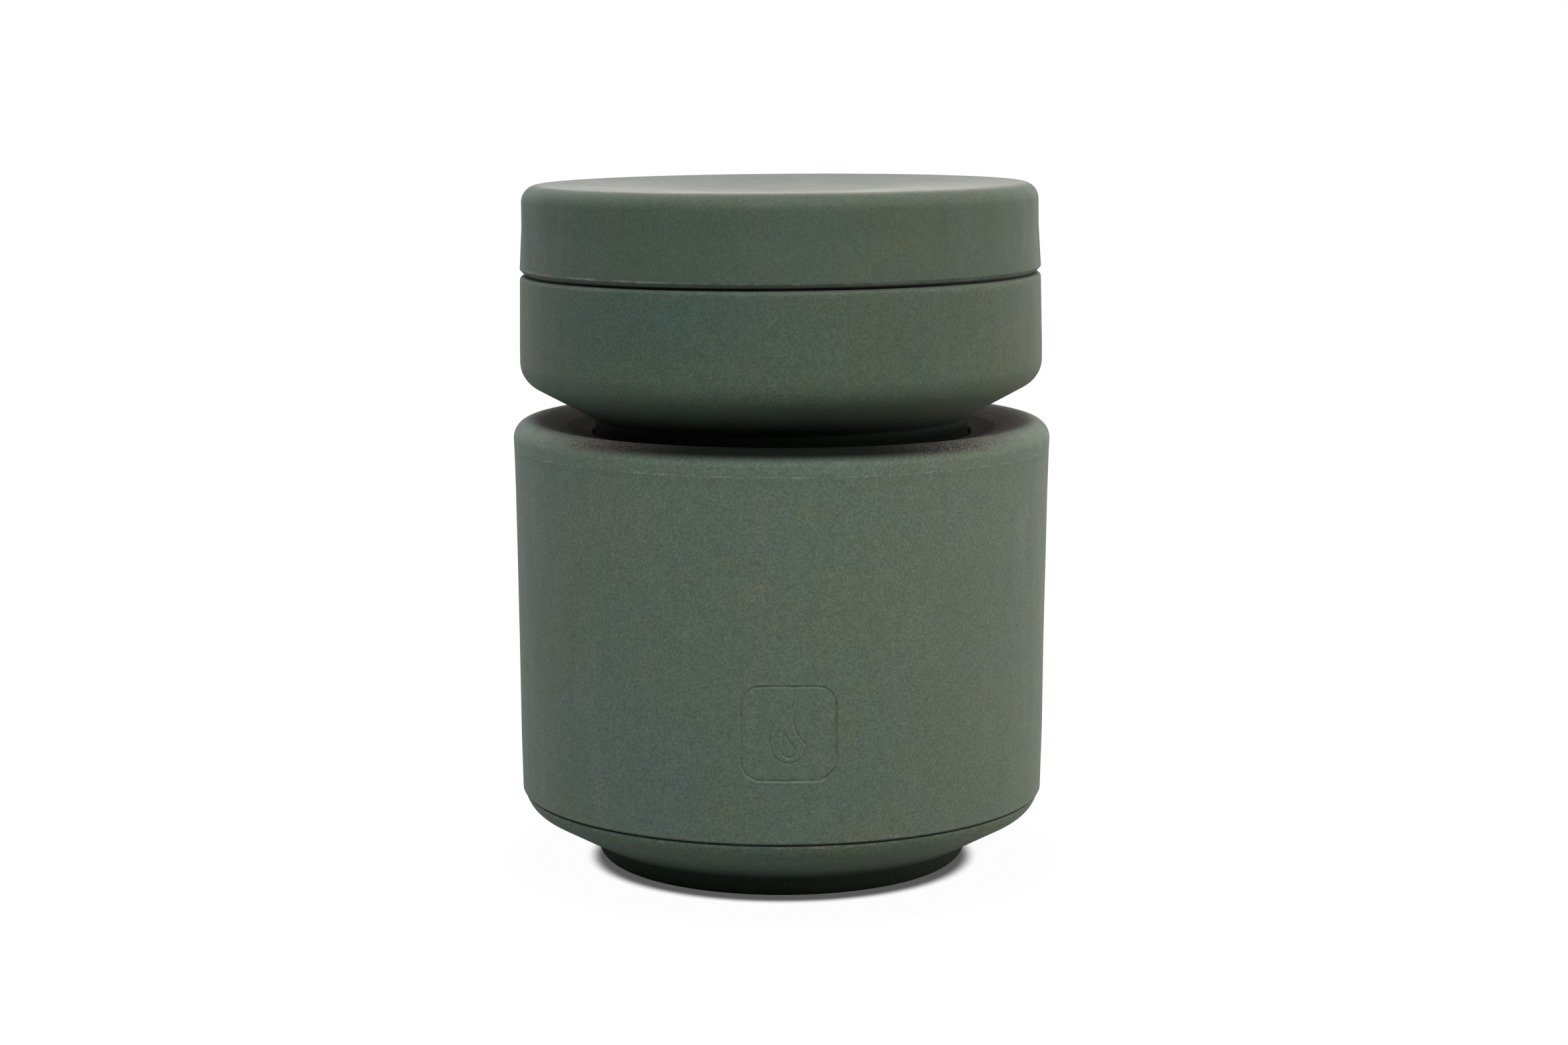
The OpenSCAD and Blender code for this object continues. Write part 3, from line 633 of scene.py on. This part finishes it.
def paintCast(name, settings, seed, look):
    # look: tone, speckle, faded; worn: height, width, share of bands that rub lighter and also stand in for
    # painted highlights along edges;
    # dark: from, to height, share of painted shade; sootAndPanShadow: soot and painted pan shadow, from, to
    # radius, top; dustAndSheen: dust and painted sheen, from, to radius, lowest height
    tone, speckle = look["tone"], look["speckle"]
    material, bench = newMaterial(name)
    x, y, z = bench.axes()
    radius = (x * x + y * y) ** 0.5
    moved = (seed, seed * 0.7, seed * 1.3)
    shift = bench.node("VectorMath", {"operation": "ADD"}, {0: bench.place(), 1: moved})

    def patches(size, detail, rough, stretch=(1, 1, 1), warp=0.0):
        spot = bench.node("VectorMath", {"operation": "MULTIPLY"}, {0: shift, 1: stretch})
        return bench.node("TexNoise", None, {"Vector": spot, "Scale": 1 / size, "Detail": detail,
                                             "Roughness": rough, "Distortion": warp})

    def shade(colour):
        return tuple(c * tone for c in settings[colour])

    def absolute(wire):
        return bench.node("Math", {"operation": "ABSOLUTE"}, {0: wire})

    broad = patches(0.09, 3, 0.55, warp=0.5)
    stains = patches(0.045, 5, 0.6, warp=0.6)
    clouds = patches(0.02, 5, 0.6, stretch=(1, 1, 0.35), warp=0.4)
    streaks = patches(0.010, 5, 0.65, stretch=(1, 1, 0.2))
    mottle = patches(0.005, 4, 0.6)
    grain = patches(0.0012, 3, 0.65)
    flecks = patches(0.0009, 2, 0.5)
    sand = patches(0.00045, 2, 0.6)

    tealShare = broad.ramp(0.36, 0.64) * x.ramp(-0.1, 0.12, 1.0, 0.35)     # bluer on the left
    colour = bench.blend(tealShare, shade("deep"), shade("teal"))
    oliveSpots = stains.ramp(0.44, 0.68) * grain.ramp(0.42, 0.60, 0.45, 1.0) * x.ramp(-0.11, 0.1, 0.35, 1.0)
    colour = bench.blend(oliveSpots, colour, shade("olive"))
    oliveSide = x.ramp(-0.04, 0.11, 0.0, 0.42) * broad.ramp(0.3, 0.7, 0.6, 1.0)
    colour = bench.blend(oliveSide, colour, shade("olive"))
    # painted sheen: grey clouds lighten the left and right sides, as grazing light does
    sides = absolute(x).ramp(0.06, 0.12, 0.45, 0.95)
    colour = bench.blend(clouds.ramp(0.48, 0.78) * sides * 0.8, colour, shade("greySheen"))
    if "faded" in look:
        colour = bench.blend(look["faded"], colour, shade("pale"))
    wearAndHighlight = flecks.ramp(0.58, 0.76) * clouds.ramp(0.3, 0.7, 0.1 * speckle, 0.4 * speckle)
    # bands of wear that also stand in for painted highlights along edges
    for height, width, strength in look["worn"]:
        near = 1 - absolute(z - height * mm).ramp(0, width * mm)
        wearAndHighlight = wearAndHighlight + near * streaks.ramp(0.3, 0.75) * strength
    colour = bench.blend(wearAndHighlight.ramp(0, 1), colour, shade("dustAndHighlight"))
    # painted light: the colour is up to 14 percent lighter towards the left, then speckled
    speckAndLeftLight = x.ramp(-0.1, 0.04, 1.14, 1.0)
    for wire, share in ((sand, 0.1), (grain, 0.15), (mottle, 0.035)):
        speckAndLeftLight = speckAndLeftLight * wire.ramp(0.3, 0.7, 1 - share * speckle, 1 + share * speckle)
    speckAndLeftLight = bench.node("CombineColor", None, {0: speckAndLeftLight, 1: speckAndLeftLight, 2: speckAndLeftLight})
    colour = bench.blend(1.0, colour, speckAndLeftLight, "MULTIPLY")
    if "dustAndSheen" in look:
        near, far, lowest = (v * mm for v in look["dustAndSheen"])
        # dust on the lid's top plus a painted sheen, stronger towards the front
        dustAndSheenShare = radius.ramp(far, near) * y.ramp(-0.1, 0.1, 1.0, 0.3) * stains.ramp(0.3, 0.7, 0.75, 1.0)
        colour = bench.blend(dustAndSheenShare * (z > lowest), colour, settings["ash"])

    fine = bench.bump(sand, 0.3, 0.0002)
    normal = bench.bump(grain * 0.7 + stains * 0.3, 0.3, 0.0005, fine)
    rough = settings["rough"]
    shader = bench.node("BsdfPrincipled", None, {
        "Base Color": colour, "Normal": normal,
        "Roughness": streaks.ramp(0.3, 0.7, rough - 0.05, rough + 0.1),
        "IOR": 1.5, "Sheen Weight": 0.13, "Sheen Roughness": 0.45, "Sheen Tint": (0.94, 0.95, 0.9, 1),
    })
    covers = []                              # painted shade, and soot with painted pan shadow, lie on top as their own dull coat
    if "dark" in look:
        # painted shade: darkest at the lower height, fading out by the upper
        low, high, share = look["dark"]
        covers.append((z.ramp(low * mm, high * mm, share, 0.0), (*settings["dark"], 1)))
    if "sootAndPanShadow" in look:
        near, far, crest = look["sootAndPanShadow"]
        sideways = y.ramp(-0.118, -0.07)     # grainy soot at the sides, smooth black painted shadow of the pan in front
        bits = flecks.ramp(0.42, 0.66) * x.ramp(-0.08, 0.1, 0.36, 0.5) * sideways * (radius > 0.1)
        sootAndShadeColour = bench.blend(sideways, settings["dark"], settings["brown"])
        edge = radius + (mottle - 0.5) * 0.003 + (broad - 0.5) * 0.005
        flat = edge.ramp(near * mm, far * mm, 1.0, 0.0) * z.ramp((crest - 9) * mm, (crest - 4) * mm)
        # painted shadow of the pan, black down the front of the drum's lip
        lip = z.ramp((crest - 7) * mm, (crest - 2.2) * mm) * y.ramp(-0.10, -0.05, 1.0, 0.0)
        covers.append((1 - (1 - flat) * (1 - lip), bench.blend(bits, sootAndShadeColour, settings["ash"])))
    for share, paint in covers:
        dull = bench.node("BsdfPrincipled", None, {
            "Base Color": paint, "Roughness": 0.9, "IOR": 1.2, "Normal": normal})
        shader = bench.node("MixShader", None, {0: share, 1: shader, 2: dull})
    finish(bench, shader)
    return material


iron = {"black": (0.020, 0.020, 0.021), "worn": (0.046, 0.045, 0.044), "rust": (0.060, 0.033, 0.020),
        "rough": 0.5}


def paintIron(name, settings, rust=0.3):     # cast iron under stove polish, rusty here and there
    material, bench = newMaterial(name)
    blots, skin = bench.cloud(0.03, 5, 0.6), bench.cloud(0.007, 5, 0.65)
    pores = bench.cloud(0.0009, 3, 0.6)
    colour = bench.blend(skin.ramp(0.40, 0.80), settings["black"], settings["worn"])
    spots = blots.ramp(0.55, 0.72) * pores.ramp(0.4, 0.65)
    colour = bench.blend(spots * rust, colour, settings["rust"])
    normal = bench.bump(pores, 0.35, 0.0003, bench.bump(skin, 0.25, 0.0006))
    finish(bench, bench.node("BsdfPrincipled", None, {
        "Base Color": colour, "Metallic": 0.35, "Roughness": skin.ramp(0.3, 0.7, settings["rough"], 0.72),
        "Normal": normal,
    }))
    return material


steel = {"bright": (0.50, 0.49, 0.47), "dull": (0.30, 0.295, 0.285), "blue": (0.13, 0.15, 0.22),
         "straw": (0.36, 0.25, 0.12), "scale": (0.055, 0.05, 0.048)}


def paintSteel(name, settings, heat=0.0, rough=0.38):     # sheet with mill marks, heat tints
    material, bench = newMaterial(name)
    brushed = bench.cloud(0.004, 4, 0.6)
    blots, specks = bench.cloud(0.035, 5, 0.65, warp=0.5), bench.cloud(0.002, 4, 0.65)
    colour = bench.blend(brushed.ramp(0.35, 0.65), settings["dull"], settings["bright"])
    if heat:
        tint = bench.blend(blots.ramp(0.45, 0.6), settings["straw"], settings["blue"])
        colour = bench.blend(blots.ramp(0.3, 0.5) * heat, colour, tint)
        colour = bench.blend((specks + blots).ramp(0.9, 1.2) * heat, colour, settings["scale"])
    finish(bench, bench.node("BsdfPrincipled", None, {
        "Base Color": colour, "Metallic": specks.ramp(0.55, 0.75, 0.95, 0.7),
        "Roughness": brushed.ramp(0.3, 0.7, rough - 0.08, rough + 0.14),
        "Normal": bench.bump(brushed, 0.12, 0.0003, bench.bump(specks, 0.08, 0.0003)),
    }))
    return material


zinc = {"light": (0.56, 0.56, 0.55), "cloudy": (0.38, 0.39, 0.40), "rough": 0.34}
brass = {"light": (0.62, 0.42, 0.16), "cloudy": (0.34, 0.21, 0.085), "rough": 0.3}


def paintPlated(name, settings):             # small turned metal pieces, a little tarnished
    material, bench = newMaterial(name)
    tarnish, scuffs = bench.cloud(0.005, 5, 0.65), bench.cloud(0.0012, 3, 0.6, stretch=(1, 1, 0.4))
    colour = bench.blend(tarnish.ramp(0.42, 0.66), settings["light"], settings["cloudy"])
    rough = settings["rough"]
    finish(bench, bench.node("BsdfPrincipled", None, {
        "Base Color": colour, "Metallic": 1.0,
        "Roughness": (tarnish * 0.5 + scuffs * 0.5).ramp(0.35, 0.65, rough - 0.08, rough + 0.2),
        "Normal": bench.bump(scuffs, 0.08, 0.0002),
    }))
    return material


wood = {"early": (0.23, 0.115, 0.048), "late": (0.095, 0.042, 0.017), "pore": (0.035, 0.016, 0.008),
        "rough": 0.42}


def paintWood(name, settings, heart):        # beech, its rings round a line beside the knob, along Y
    material, bench = newMaterial(name)
    shifted = bench.node("VectorMath", {"operation": "SUBTRACT"}, {0: bench.place(), 1: heart})
    bent = bench.node("VectorMath", {"operation": "MULTIPLY"}, {0: shifted, 1: (1, 0.06, 1)})
    rings = bench.node("TexWave", {"wave_type": "RINGS", "rings_direction": "Y"}, {
        "Vector": bent, "Scale": 75, "Distortion": 2.2, "Detail": 3, "Detail Scale": 1.6})
    fibres = bench.cloud(0.0006, 3, 0.6, stretch=(1, 0.07, 1))
    colour = bench.blend(rings.ramp(0.1, 1.0, 0.0, 0.6), settings["early"], settings["late"])
    colour = bench.blend(fibres.ramp(0.6, 0.75) * 0.7, colour, settings["pore"])
    finish(bench, bench.node("BsdfPrincipled", None, {
        "Base Color": colour,
        "Roughness": fibres.ramp(0.3, 0.7, settings["rough"] - 0.06, settings["rough"] + 0.1),
        "Coat Weight": 0.15, "Coat Roughness": 0.3, "Normal": bench.bump(fibres, 0.12, 0.0002),
    }))
    return material


rubber = {"base": (0.020, 0.021, 0.020), "bloom": (0.07, 0.07, 0.068), "rough": 0.55, "grain": 0.0012}
graphite = {"base": (0.024, 0.024, 0.026), "bloom": (0.11, 0.11, 0.115), "rough": 0.38, "grain": 0.003}
ropeGlass = {"base": (0.40, 0.375, 0.33), "bloom": (0.12, 0.105, 0.09), "rough": 0.85, "grain": 0.0007}
fibre = {"base": (0.66, 0.60, 0.50), "bloom": (0.42, 0.35, 0.27), "rough": 0.95, "grain": 0.0016}


def paintSoft(name, settings, relief=0.3):   # seals, gaskets, rope and fibre board
    material, bench = newMaterial(name)
    bloom, grain = bench.cloud(0.014, 5, 0.65, warp=0.4), bench.cloud(settings["grain"], 4, 0.65)
    share = bloom.ramp(0.45, 0.72) * grain.ramp(0.3, 0.65, 0.35, 1.0)
    finish(bench, bench.node("BsdfPrincipled", None, {
        "Base Color": bench.blend(share, settings["base"], settings["bloom"]),
        "Roughness": grain.ramp(0.3, 0.7, settings["rough"] - 0.08, min(1, settings["rough"] + 0.1)),
        "Normal": bench.bump(grain, relief, settings["grain"] * 0.4),
    }))
    return material


def dress(piece, material):
    piece.data.materials.clear()
    piece.data.materials.append(material)


settle = {"tilt": 0.44, "lift": 0.0}         # pan and lid sit a little askew in the drum's mouth


def sitAskew(piece, settings):
    seat = Vector((0, 0, bottom("pan") * mm))
    turn = Matrix.Rotation(-math.radians(settings["tilt"]), 4, "Y")
    up = Matrix.Translation((0, 0, settings["lift"] * mm))
    piece.data.transform(up @ Matrix.Translation(seat) @ turn @ Matrix.Translation(-seat))


lidSeal = {"wide": 3.2, "round": 0.3, "columns": 240}


def makeLidSeal(settings):
    low, high = bottom("lid_seal"), top("lid_seal")
    out, bend = radiusOf("lid_seal"), settings["round"]
    inner = out - settings["wide"]
    corners = [(inner, low, 0), (out, low, bend), (out, high, bend), (inner, high, 0), (inner, low, 0)]
    return turnPiece("lid_seal_ring", softOutline(corners)[:-1], evenAngles(settings["columns"]), closed=True)


rope = {"strands": 3, "pitch": 5.0, "orbit": 0.72, "thick": 0.74, "flat": 0.48, "inset": 3,
        "margin": 1.5, "step": 0.42, "sides": 7}


def makeRope(settings):                      # the door's seal: strands twisted along a rounded rectangle
    low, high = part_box("door_gasket")
    middle = (low + high) / 2
    margin = settings["margin"] * mm
    half = Vector(((high.x - low.x) / 2 - margin, (high.z - low.z) / 2 - margin))
    path = roundCorners(half, settings["inset"] * mm)
    path.append(path[0])
    line = splitLong(path, settings["step"] * mm)[:-1]
    run, total = [0.0], 0.0
    for a, b in zip(line, line[1:] + line[:1]):
        total += (b - a).length
        run.append(total)
    turns = round(total / (settings["pitch"] * mm))
    mesh = bmesh.new()
    count, sides = len(line), settings["sides"]
    orbit, thick = settings["orbit"], settings["thick"]
    for strand in range(settings["strands"]):
        rings = []
        for i, p in enumerate(line):
            ahead = (line[(i + 1) % count] - line[i - 1]).normalized()
            outward = Vector((ahead.y, -ahead.x))
            phase = 2 * math.pi * (turns * run[i] / total + strand / settings["strands"])
            ring = []
            for k in range(sides):
                a = 2 * math.pi * k / sides
                across = orbit * math.cos(phase) + thick * math.cos(a)
                deep = settings["flat"] * (orbit * math.sin(phase) + thick * math.sin(a))
                spot = p + outward * across * mm
                place = (middle.x + spot.x, middle.y + deep * mm, middle.z + spot.y)
                ring.append(mesh.verts.new(place))
            rings.append(ring)
        for i in range(count):
            near, far = rings[i], rings[(i + 1) % count]
            for k in range(sides):
                j = (k + 1) % sides
                mesh.faces.new((near[k], near[j], far[j], far[k]))
    piece = makeObject("door_rope", mesh)
    smooth(piece, 80)
    return piece


dishPiece = makeDish(dish)
drumPiece = makeDrum(drum, mark)
openPort(drumPiece, port)
panPiece = makePan(pan)
lidPiece = makeLid(lid)
sealPiece = makeLidSeal(lidSeal)
ropePiece = makeRope(rope)
for piece in (panPiece, lidPiece, sealPiece):
    sitAskew(piece, settle)
print("turned pieces made")

shells = (                                   # piece, body, node, seed, look
    (dishPiece, "dish", "ash_dish", 2.0, {
        # the dark band is painted shade on the foot; the worn band under the seam is wear and a painted
        # highlight
        "tone": 1.3, "speckle": 1.6, "worn": ((32.6, 1.2, 0.6),), "dark": (8, 18, 0.72)}),
    (drumPiece, "drum", "drum_shell", 7.0, {
        # the soot cover is soot at the sides and painted shadow of the pan at the front
        "tone": 1.42, "speckle": 1.4, "faded": 0.2, "sootAndPanShadow": (111, 122.5, top("drum_shell")),
        "worn": ((35.5, 1.5, 0.3), (200, 9, 0.15), (197, 0.9, 0.5))}),
    (panPiece, "pan", "pan", 13.0, {
        # the dark band is painted shade on the pan's foot in the gap; the worn band at the rim is wear and a
        # painted highlight
        "tone": 0.92, "speckle": 1.4, "worn": ((275.2, 2.4, 0.45), (236, 1, 0.2)), "dark": (205, 219, 1.0)}),
    (lidPiece, "lid", "lid", 19.0, {
        # the worn band at the lid's lower edge is a painted highlight as well as wear; the dust cover carries
        # a painted sheen towards the front
        "tone": 0.88, "speckle": 1.0, "worn": ((279.4, 0.9, 1.3), (315, 5, 0.3)), "dustAndSheen": (111, 116, 305)}),
)
for piece, body, node, seed, look in shells:
    dress(piece, paintCast(node + "Finish", castGreen, seed, look))
    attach(piece, body)
    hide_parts(node)
softRubber = paintSoft("darkSilicone", rubber)
dress(sealPiece, softRubber)
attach(sealPiece, "lid")
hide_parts("lid_seal")
dress(ropePiece, paintSoft("glassRope", ropeGlass, 0.5))
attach(ropePiece, "door")
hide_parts("door_gasket")
print("cast pieces painted")


knobLow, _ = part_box("door_knob")
heart = (knobLow.x - 0.02, 0, knobLow.z - 0.015)          # the tree's middle lies beside the knob
plainSheet = paintSteel("plainSteel", steel)
firedSheet = paintSteel("firedSteel", steel, heat=0.8, rough=0.5)
blackIron = paintIron("blackIron", iron)
hardware = paintPlated("zincHardware", zinc)
graphiteSheet = paintSoft("graphiteSheet", graphite, 0.15)
fibreBlock = paintSoft("fibreBlock", fibre, 0.6)
kept = {                                     # material and edge rounding in mm
    "foot_ring": (softRubber, 0.3), "dish_seal": (graphiteSheet, 0.1), "port_gasket": (graphiteSheet, 0.1),
    "chamber_floor": (plainSheet, 0.3), "insulation_cover": (plainSheet, 0.3),
    "fuel_shelf": (plainSheet, 0.3), "air_shutter": (plainSheet, 0.25),
    "burn_chamber": (firedSheet, 0.3), "feed_tube": (firedSheet, 0.3),
    "lower_insulation": (fibreBlock, 1.0), "upper_insulation": (fibreBlock, 1.0),
    "tie_rods": (hardware, 0.3), "tie_washers": (hardware, 0.15), "tie_nuts": (hardware, 0.3),
    "frame_screws": (hardware, 0.25), "hinge_pin": (hardware, 0.25), "knob_stud": (hardware, 0.2),
    "rail_rivets": (hardware, 0), "fire_grate": (blackIron, 0.6), "port_frame": (blackIron, 0.8),
    "fuel_door": (blackIron, 0.6), "shutter_rails": (blackIron, 0.2), "pot_ring": (blackIron, 0.8),
    "door_knob": (paintWood("oiledWood", wood, heart), 0),
    "shutter_knob": (paintPlated("wornBrass", brass), 0),
}
for node, (material, width) in kept.items():
    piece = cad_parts[node]
    dress(piece, material)
    if width:                                # joins doubled corners and flat faces, then rounds the edges
        piece.modifiers.new("join", "WELD").merge_threshold = 1e-6
        flat = piece.modifiers.new("flat", "DECIMATE")
        flat.decimate_type = "DISSOLVE"
        flat.angle_limit = math.radians(0.5)
        edge = piece.modifiers.new("edge", "BEVEL")
        edge.width = width * mm
        edge.segments = 2
        edge.limit_method = "ANGLE"
        edge.angle_limit = math.radians(40)
        edge.harden_normals = False
        piece.modifiers.new("shade", "WEIGHTED_NORMAL").keep_sharp = False
print("kept pieces painted")
